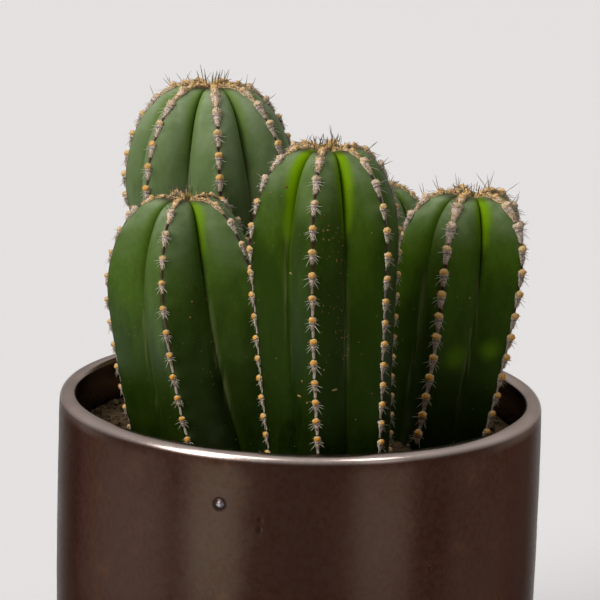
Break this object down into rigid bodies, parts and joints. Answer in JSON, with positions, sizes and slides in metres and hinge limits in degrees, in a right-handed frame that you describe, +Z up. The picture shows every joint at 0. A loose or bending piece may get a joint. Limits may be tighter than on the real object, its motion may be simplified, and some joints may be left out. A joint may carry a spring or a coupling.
{
  "type": "potted columnar cactus",
  "caption": "Cluster of ribbed green columnar cactus stems with woolly spined areoles, planted in soil in a round dark bronze glazed pot with a rounded lip.",
  "frame": {"origin": "centre of the pot's flat underside", "axes": "+Z up through the pot's mouth, -Y towards the plant's best side, +X to its right"},
  "size_m": [0.136, 0.136, 0.2043],
  "materials": {
    "pot_glaze": "satin",
    "soil": "matte",
    "cactus_skin": "satin",
    "areole_wool": "matte",
    "spines": "satin"
  },
  "bodies": {
    "root": {"pot": "pot_glaze", "soil": "soil", "stem_centre": "cactus_skin", "stem_left": "cactus_skin", "stem_right": "cactus_skin", "stem_small": "cactus_skin", "stem_tall": "cactus_skin", "areoles_centre_1": "areole_wool", "areoles_centre_2": "areole_wool", "areoles_centre_3": "areole_wool", "areoles_centre_4": "areole_wool", "areoles_centre_5": "areole_wool", "areoles_centre_6": "areole_wool", "areoles_left_1": "areole_wool", "areoles_left_2": "areole_wool", "areoles_left_3": "areole_wool", "areoles_left_4": "areole_wool", "areoles_left_5": "areole_wool", "areoles_right_1": "areole_wool", "areoles_right_2": "areole_wool", "areoles_right_3": "areole_wool", "areoles_right_4": "areole_wool", "areoles_right_5": "areole_wool", "areoles_small_1": "areole_wool", "areoles_small_2": "areole_wool", "areoles_small_3": "areole_wool", "areoles_small_4": "areole_wool", "areoles_small_5": "areole_wool", "areoles_small_6": "areole_wool", "areoles_tall_1": "areole_wool", "areoles_tall_2": "areole_wool", "areoles_tall_3": "areole_wool", "areoles_tall_4": "areole_wool", "areoles_tall_5": "areole_wool", "areoles_tall_6": "areole_wool", "areoles_tall_7": "areole_wool", "tip_spines_centre": "spines", "tip_spines_left": "spines", "tip_spines_right": "spines", "tip_spines_small": "spines", "tip_spines_tall": "spines"}
  },
  "joints": []
}
